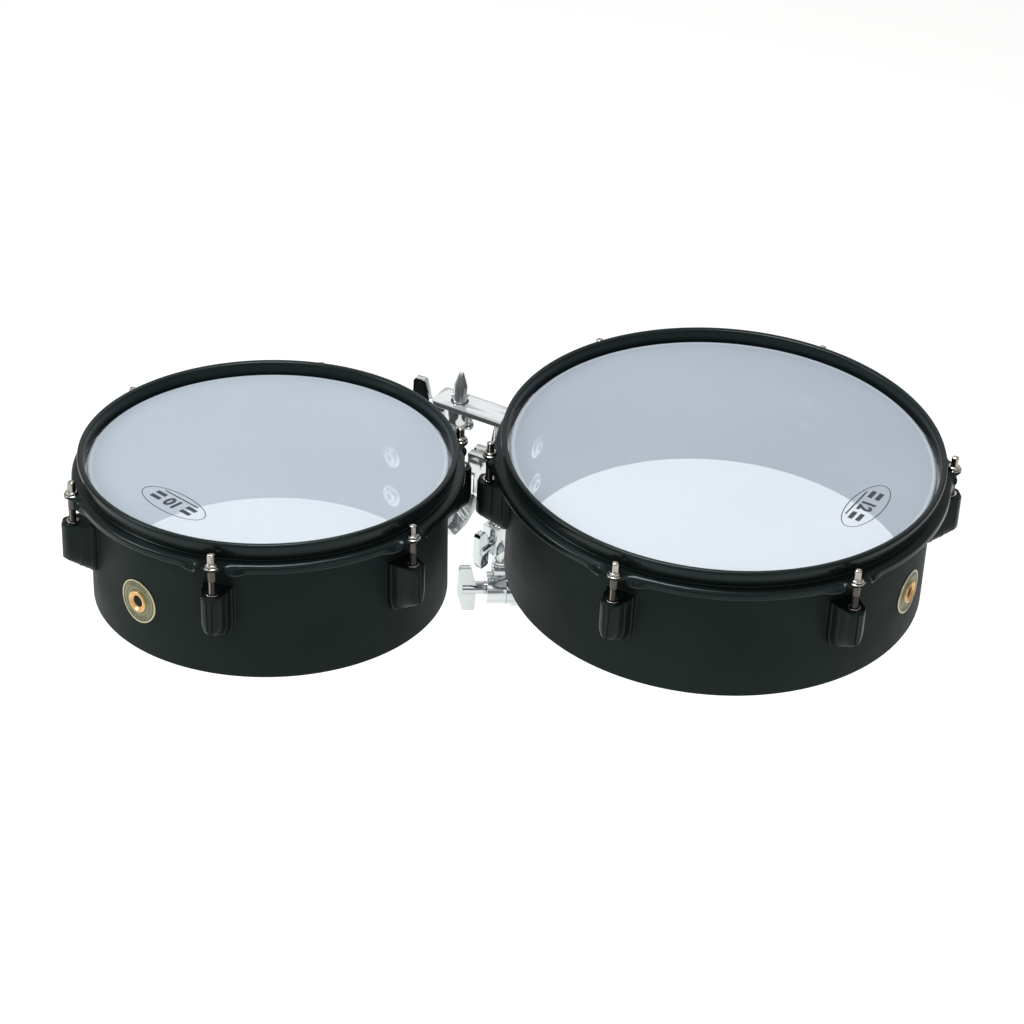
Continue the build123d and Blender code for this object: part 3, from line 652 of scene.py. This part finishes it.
# ---------------------------------------------------------------- tension rods
# A key head's square sections from the top: half width, corner radius, height.
KEY_SECTIONS = [(1.2, 0.7, -4.5), (1.9, 1.0, -4.7), (2.25, 1.1, -5.1), (2.4, 1.1, -5.7),
                (2.4, 1.1, -11.0), (2.75, 1.5, -12.0), (3.3, 1.9, -12.6)]
KEY_TURN = 17           # degrees from one rod's key to the next one's
THREAD_TOP = -26.0
THREAD_PITCH = 0.85
THREAD_ROOT = 0.42      # height from a crest to the root below it
THREAD_TURNS = 12       # the ones above the lug
THREAD_END = -58.0


def square_ring(half, corner, z, x0, turn):
    """A rounded square section."""
    ring = []
    for quarter in range(4):
        cx = (half - corner) * (1 if quarter in (0, 3) else -1)
        cy = (half - corner) * (1 if quarter in (0, 1) else -1)
        for i in range(4):
            a = radians(90 * quarter + 30 * i)
            px = cx + corner * cos(a)
            py = cy + corner * sin(a)
            ring.append((x0 + px * cos(turn) - py * sin(turn), px * sin(turn) + py * cos(turn), z))
    return ring


def rod_shape(r, turn):
    """A rod's key head with its collar, and its shaft."""
    x0 = r + ROD_PITCH
    key = loft([square_ring(half, corner, z, x0, turn) for half, corner, z in KEY_SECTIONS])
    collar = [(0.0, -12.2), (3.6, -12.2)] + arc(3.9, -12.7, 0.5, 80, 0, 4)
    collar += arc(3.9, -13.2, 0.7, 0, -80, 4) + [(2.9, -13.95), (0.0, -13.95)]
    thread = [(0.0, -13.9), (2.85, -13.9), (2.85, -24.5), (2.7, -25.5)]
    for i in range(THREAD_TURNS):
        z = THREAD_TOP - THREAD_PITCH * i
        thread += [(2.62, z), (2.22, z - THREAD_ROOT)]
    thread += [(2.5, -36.5), (2.5, THREAD_END + 0.5), (2.0, THREAD_END), (0.0, THREAD_END)]
    aside = Matrix.Translation((x0, 0, 0))
    key = join_shapes(key, moved(lathe(collar, 32, closed=False), aside))
    shaft = moved(lathe(thread, 32, closed=False), aside)
    return key, shaft


def washer_shape(r):
    """A washer between a key head's collar and the ear under it."""
    ring = [(3.0, -15.0), (5.3, -15.0)] + arc(5.25, -14.65, 0.35, -60, 60, 4)
    ring += [(4.9, -14.15), (3.3, -14.05), (3.0, -14.2)]
    verts, faces = lathe(ring, 36)
    return [(x + r + ROD_PITCH, y, z) for x, y, z in verts], faces


def nut_shape(r):
    """A sleeve nut inside a lug, its rim just above the lug's top."""
    ring = [(2.6, -52), (4.0, -52), (4.0, LUG_TOP + 0.02), (4.55, LUG_TOP + 0.02)]
    ring += arc(4.25, LUG_TOP + 0.5, 0.4, -20, 90, 5)
    ring += [(3.3, LUG_TOP + 0.9), (2.6, LUG_TOP + 0.55)]
    verts, faces = lathe(ring, 32)
    return [(x + r + ROD_PITCH, y, z) for x, y, z in verts], faces


def rods(drum):
    """The tension rods, each on its own body, and the washers and nuts that stay still."""
    for number, a in enumerate(LUG_ANGLES, 1):
        turn = radians(KEY_TURN * number)
        spot = Matrix.Rotation(a, 4, "Z")
        key, shaft = [moved(shape, spot) for shape in rod_shape(drum.r, turn)]
        body = f"{drum.side}_rod_{number}"
        obj = mesh_object(f"{drum.side}_key_{number}", *key, drum.place, 40)
        finish_piece(obj, NICKEL, body, "nickel", f"{drum.side}_tension_rod_{number}")
        obj = mesh_object(f"{drum.side}_thread_{number}", *shaft, drum.place, 40)
        finish_piece(obj, THREAD, body, "nickel")
    for name, shape, node in (("steel_washers", washer_shape(drum.r), "rod_washers"),
                              ("lug_nuts", nut_shape(drum.r), "swivel_nuts")):
        obj = mesh_object(f"{drum.side}_{name}", *at_lugs(shape), drum.place, 40)
        finish_piece(obj, NICKEL, drum.body, "nickel", f"{drum.side}_{node}")


# ---------------------------------------------------------------- fixings
LUG_SCREW_Z = (-43.0, -65.0)
LUG_SCREW = (4.2, 2.8, 2.0, 9.0)        # head radius, head height, shank radius, shank length
BRACKET_BOLT_Z = (-89.5, -56.5)
BRACKET_BOLT = (6.0, 4.0, 3.0, 5.0)


def fixing(r, z, head, height, shank, reach):
    """A domed head inside the shell with a plain shank out through it."""
    side = height * 0.55        # the head's upright side, under its dome
    dome = height - side
    socket = shank * 0.9
    profile = [(0.0, -reach), (shank, -reach), (shank, 0.0), (head, 0.0), (head, side)]
    profile += arc(head - dome, side, dome, 15, 90, 5)
    profile += [(socket, height), (socket, height / 2), (0.0, height / 2)]
    turn = Matrix.Translation((r - WALL - 0.2, 0, z)) @ Matrix.Rotation(radians(-90), 4, "Y")
    return moved(lathe(profile, 32), turn)


def bolt_washer(r, z):
    """A dished washer between a bracket bolt's head and the shell."""
    ring = [(6.1, 0.1), (6.1, 1.5)] + arc(8.4, 0.9, 0.5, 60, -10, 4) + [(8.9, 0.1)]
    turn = Matrix.Translation((r - WALL - 0.9, 0, z)) @ Matrix.Rotation(radians(-90), 4, "Y")
    return moved(lathe(ring, 40), turn)


def fixings(drum):
    """The screws of the lugs and the bolts of the bracket, seen inside the shell."""
    r = drum.r
    screws = at_lugs(join_shapes(*[fixing(r, z, *LUG_SCREW) for z in LUG_SCREW_Z]))
    obj = mesh_object(f"{drum.side}_lug_screws", *screws, drum.place, 40)
    finish_piece(obj, DARK_STEEL, drum.body, "chrome", f"{drum.side}_shell_screws")
    bolts = join_shapes(*[fixing(r, z, *BRACKET_BOLT) for z in BRACKET_BOLT_Z],
                        *[bolt_washer(r, z) for z in BRACKET_BOLT_Z])
    obj = mesh_object(f"{drum.side}_bracket_bolts", *bolts, drum.place, 40)
    finish_piece(obj, ZINC, drum.body, "chrome")


# ---------------------------------------------------------------- badge
# Outlines turned about the badge's axis: (out from the axis, height above the shell).
BADGE_PLATE = [(4.7, 0.05), (16.4, 0.05), (16.5, 0.35), (16.3, 0.75), (15.9, 0.85), (15.4, 0.8),
               (15.2, 0.5), (12.0, 0.5), (8.4, 0.5), (8.2, 0.8), (4.7, 0.8)]
BADGE_FIELD = [(8.3, 0.5), (15.25, 0.5), (15.2, 0.58), (8.35, 0.58)]
BADGE_VENT = [(3.0, -4.4), (3.6, -4.2), (3.7, -2.7), (5.9, -2.6), (6.0, -1.6), (4.6, -1.5),
              (4.6, 0.8), (8.1, 0.85), (8.15, 1.4), (7.9, 1.9), (7.4, 2.2), (6.9, 2.1),
              (6.5, 1.7), (5.4, 0.9), (4.2, -0.3), (3.0, -1.3), (2.4, -1.8), (2.3, -3.0),
              (2.4, -4.3)]
BADGE_RINGS = ((14.5, 14.95), (11.3, 11.5), (8.5, 8.8))     # inside, outside
RING_HEIGHTS = (0.58, 0.64)
TICK = (12.1, 13.9, 0.35)       # a bar's inner end, outer end and half width
TICK_HEIGHTS = (0.58, 0.66)
TICK_STEP = 9                   # degrees from bar to bar
TICK_COUNT = 9                  # bars in a group


def over_shell(drum, x, y, height):
    """The place of a point beside the badge's axis, at a height above the curved shell."""
    return -sqrt((drum.r + height) ** 2 - y ** 2), y, BADGE_Z + x


def on_shell(drum, profile, steps=96):
    """A small lathe shape on the shell at the badge's place, bent with the shell."""
    verts, faces = lathe(profile, steps)
    return [over_shell(drum, *v) for v in verts], faces


def badge_rings(drum):
    """Fine raised rings on the badge's field."""
    low, high = RING_HEIGHTS
    return [on_shell(drum, [(inner, low), (outer, low), (outer, high), (inner, high)])
            for inner, outer in BADGE_RINGS]


def badge_ticks(drum):
    """Small raised bars round the badge, in two groups, above and below the vent."""
    inner, outer, half = TICK
    corners = ((inner, -half), (outer, -half), (outer, half), (inner, half))
    faces = [(4, 5, 6, 7), (0, 1, 5, 4), (1, 2, 6, 5), (2, 3, 7, 6), (3, 0, 4, 7), (3, 2, 1, 0)]
    shapes = []
    for middle in (0, 180):
        for step in range(TICK_COUNT):
            a = radians(middle + TICK_STEP * (step - TICK_COUNT // 2))
            bar = [over_shell(drum, x * cos(a) - y * sin(a), x * sin(a) + y * cos(a), height)
                   for height in TICK_HEIGHTS for x, y in corners]
            shapes.append((bar, faces))
    return shapes


def badge(drum):
    """A round plate with a paler rim, a ringed field and a rolled vent in its middle."""
    obj = mesh_object(f"{drum.side}_round_badge", *on_shell(drum, BADGE_PLATE), drum.place, 40)
    finish_piece(obj, GOLD, drum.body, "badge_gold", f"{drum.side}_badge")
    obj = mesh_object(f"{drum.side}_badge_field", *on_shell(drum, BADGE_FIELD), drum.place, 40)
    finish_piece(obj, OLIVE, drum.body, "badge_gold")
    lines = join_shapes(*badge_rings(drum), *badge_ticks(drum))
    obj = mesh_object(f"{drum.side}_badge_lines", *lines, drum.place, 40)
    finish_piece(obj, DARK_OLIVE, drum.body, "badge_gold")
    obj = mesh_object(f"{drum.side}_brass_vent", *on_shell(drum, BADGE_VENT, 64), drum.place, 60)
    finish_piece(obj, BRASS, drum.body, "brass", f"{drum.side}_vent_eyelet")


# ---------------------------------------------------------------- holder
EDGE_ANGLE = radians(32)        # edges sharper than this are rounded
SHADE_ANGLE = 38
BRACKET_EDGE = 0.9              # edge radius of the drums' brackets


def bevelled(node, name, body, slot, material, width):
    """A CAD node's shape again with its edges rounded."""
    mesh = frame["nodes"][node].data.copy()
    mesh.name = name
    bm = bmesh.new()
    bm.from_mesh(mesh)
    bmesh.ops.remove_doubles(bm, verts=bm.verts, dist=0.00002)
    bmesh.ops.dissolve_limit(bm, angle_limit=radians(1.0), verts=bm.verts, edges=bm.edges)
    bm.to_mesh(mesh)
    bm.free()
    obj = new_object(name, mesh)
    bevel = obj.modifiers.new("edge", "BEVEL")
    bevel.width = width * MM
    bevel.segments = 3
    bevel.limit_method = "ANGLE"
    bevel.angle_limit = EDGE_ANGLE
    bevel.harden_normals = False
    bpy.context.view_layer.update()
    depsgraph = bpy.context.evaluated_depsgraph_get()
    final = bpy.data.meshes.new_from_object(obj.evaluated_get(depsgraph))
    obj.modifiers.clear()
    obj.data = final
    shade(final, SHADE_ANGLE)
    return finish_piece(obj, material, body, slot, node)


# name of the CAD node: (name of the piece, body, edge radius)
CHROME_PIECES = {
    "stand_receiver": ("socket_casting", "receiver", 0.8),
    "stand_wing": ("stand_wing_bolt", "stand_wing", 1.6),
    "tilter": ("tilter_casting", "tilter", 0.6),
    "outer_tube": ("outer_tube_steel", "tilter", 0.4),
    "post_collar": ("collar_casting", "tilter", 0.7),
    "tilter_wing": ("tilter_wing_bolt", "tilter_wing", 1.6),
    "collar_wing": ("collar_wing_bolt", "collar_wing", 1.6),
    "inner_post": ("post_steel", "post", 0.4),
    "top_plate": ("bridge_plate", "post", 1.8),
    "plate_screw": ("plate_cap_screw", "post", 0.3),
    "rod_clamp": ("rod_clamp_boss", "post", 0.7),
    "rod_clamp_wing": ("rod_clamp_wing_bolt", "rod_clamp_wing", 1.6),
    "l_rod": ("bent_rod", "l_rod", 0.3),
    "rod_stop_pin": ("stop_pin", "l_rod", 0.3),
    "left_bracket_wing": ("bracket_wing_bolt", "left_bracket_wing", 1.6),
    "post_lock_ring": ("lock_ring_steel", "lock_ring", 0.5),
    "swivel_clamp": ("swivel_clamp_casting", "swivel_clamp", 0.8),
    "swivel_clamp_wing": ("clamp_wing_bolt", "clamp_wing", 1.6),
}
# the pieces whose chrome is partly pale diffuse colour, a painted reflection that makes them paler
PAINTED_SHEEN_PIECES = ("l_rod", "rod_clamp", "left_bracket_wing", "swivel_clamp", "post_collar",
                "top_plate", "outer_tube", "tilter")


def holder():
    """The chrome holder and the drums' brackets, from the CAD with their edges rounded."""
    for node, (name, body, width) in CHROME_PIECES.items():
        # the listed pieces get the chrome with the painted reflection
        skin = CHROME_PAINTED_SHEEN if node in PAINTED_SHEEN_PIECES else CHROME
        bevelled(node, name, body, "chrome", skin, width)
    for drum in DRUMS:
        name = f"{drum.side}_bracket"
        bevelled(name, f"{name}_casting", drum.body, "cast_black", LUG_BLACK, BRACKET_EDGE)


def keep_nodes():
    """CAD nodes whose shape is already right get their materials."""
    materials = {"post_bush": NYLON, "rod_bush": NYLON, "left_leg_bush": NYLON}
    for drum in DRUMS:
        materials[f"{drum.side}_flesh_hoop"] = ALLOY
        materials[f"{drum.side}_lug_gaskets"] = GASKET_BLACK
    for name, material in materials.items():
        mesh = frame["nodes"][name].data
        mesh.materials.clear()
        mesh.materials.append(material)


# ---------------------------------------------------------------- studio
# Lengths in this section are in metres.
FLOOR_DROP = 0.55       # the floor, below the part, which a stand holds up
FLOOR_HALF = 14.0
FLOOR_GLOW = 0.48
CAMERA_AIM = Vector((-0.0279, -0.070, 0.1117))
CAMERA_DISTANCE = 2.7694
CAMERA_AZIMUTH = -2.378         # degrees round from looking along +Y
CAMERA_ELEVATION = 32.78
CAMERA_ROLL = 4.386
LENS = 133.6
CURTAIN_OUT = 4.2
CURTAIN_TOP = 0.9
CURTAIN_GLOW = 0.13
SKY = 0.50
# name, place, aim, size, power
LIGHTS = [
    ("top_box", (-0.3, 0.15, 2.4), (0, -0.05, 0.1), (1.1, 0.7), 52),
    ("side_box", (-2.4, -0.4, 1.4), (0, 0, 0.1), (0.8, 1.2), 28),
    ("back_box", (0.1, 2.6, 1.8), (0, 0, 0.1), (1.8, 1.0), 3),
    ("front_left_box", (-2.3, -3.1, 0.5), (0, 0, 0.1), (1.5, 2.0), 10),
    ("front_right_box", (2.1, -3.1, 0.5), (0, 0, 0.1), (1.5, 2.0), 10),
    ("front_box", (0, -3.5, 2.6), (0, 0, 0.1), (3.0, 1.5), 12),
]


def camera():
    """The photograph's point of view."""
    data = bpy.data.cameras.new("camera")
    data.lens = LENS
    data.sensor_width = 36.0
    obj = new_object("camera", data)
    azimuth = radians(CAMERA_AZIMUTH)
    elevation = radians(CAMERA_ELEVATION)
    ahead = Vector((-sin(azimuth) * cos(elevation), cos(azimuth) * cos(elevation), -sin(elevation)))
    turn = ahead.to_track_quat("-Z", "Y").to_matrix().to_4x4()
    roll = Matrix.Rotation(radians(CAMERA_ROLL), 4, "Z")
    obj.matrix_world = Matrix.Translation(CAMERA_AIM - ahead * CAMERA_DISTANCE) @ turn @ roll
    bpy.context.scene.camera = obj


def floor():
    """A white floor that fills the picture behind the part."""
    paint = Paint("studio_floor", (0.60, 0.61, 0.60), 0.0, 0.9)
    paint.set("Specular IOR Level", 0.0)
    paint.set("Emission Color", (0.99, 1.0, 0.985, 1.0))
    paint.set("Emission Strength", FLOOR_GLOW)
    low = cad_box[0][2] - FLOOR_DROP
    corners = ((-1, -1), (1, -1), (1, 1), (-1, 1))
    verts = [(x * FLOOR_HALF, y * FLOOR_HALF, low) for x, y in corners]
    mesh = bpy.data.meshes.new("floor")
    mesh.from_pydata(verts, [], [(0, 1, 2, 3)])
    obj = new_object("floor", mesh)
    obj.data.materials.append(paint.material)


def dark_wall():
    """A dark curtain round the front and sides of the stage, behind the camera."""
    paint = Paint("dark_curtain", (0.01, 0.01, 0.01), 0.0, 0.9)
    paint.set("Specular IOR Level", 0.0)
    paint.set("Emission Color", (0.90, 1.0, 1.05, 1.0))
    paint.set("Emission Strength", CURTAIN_GLOW)
    low = cad_box[0][2] - FLOOR_DROP
    turns = [radians(a) for a in range(165, 376, 10)]
    verts = [(CURTAIN_OUT * cos(a), CURTAIN_OUT * sin(a), z)
             for a in turns for z in (low, CURTAIN_TOP)]
    faces = [(2 * i, 2 * i + 2, 2 * i + 3, 2 * i + 1) for i in range(len(turns) - 1)]
    mesh = bpy.data.meshes.new("curtain")
    mesh.from_pydata(verts, [], faces)
    obj = new_object("curtain", mesh)
    obj.data.materials.append(paint.material)


def area_light(name, place, aim, size, power):
    """A rectangular light turned towards a point."""
    data = bpy.data.lights.new(name, "AREA")
    data.shape = "RECTANGLE"
    data.size, data.size_y = size
    data.energy = power
    obj = new_object(name, data)
    ahead = (Vector(aim) - Vector(place)).normalized()
    turn = ahead.to_track_quat("-Z", "Y").to_matrix().to_4x4()
    obj.matrix_world = Matrix.Translation(place) @ turn


def studio():
    """White surroundings and the soft boxes."""
    world = bpy.data.worlds.new("studio")
    bpy.context.scene.world = world
    world.use_nodes = True
    background = world.node_tree.nodes["Background"]
    background.inputs["Color"].default_value = (1.0, 1.0, 1.0, 1.0)
    background.inputs["Strength"].default_value = SKY
    for light in LIGHTS:
        area_light(*light)
    bpy.context.scene.view_settings.view_transform = "Standard"


# ---------------------------------------------------------------- making
camera()
floor()
dark_wall()
studio()
for drum in DRUMS:
    counter_hoop(drum)
    head(drum)
    shell(drum)
    lugs(drum)
    rods(drum)
    fixings(drum)
    badge(drum)
for drum in DRUMS:
    size_mark(drum, *SIZE_MARKS[drum.side])
holder()
keep_nodes()
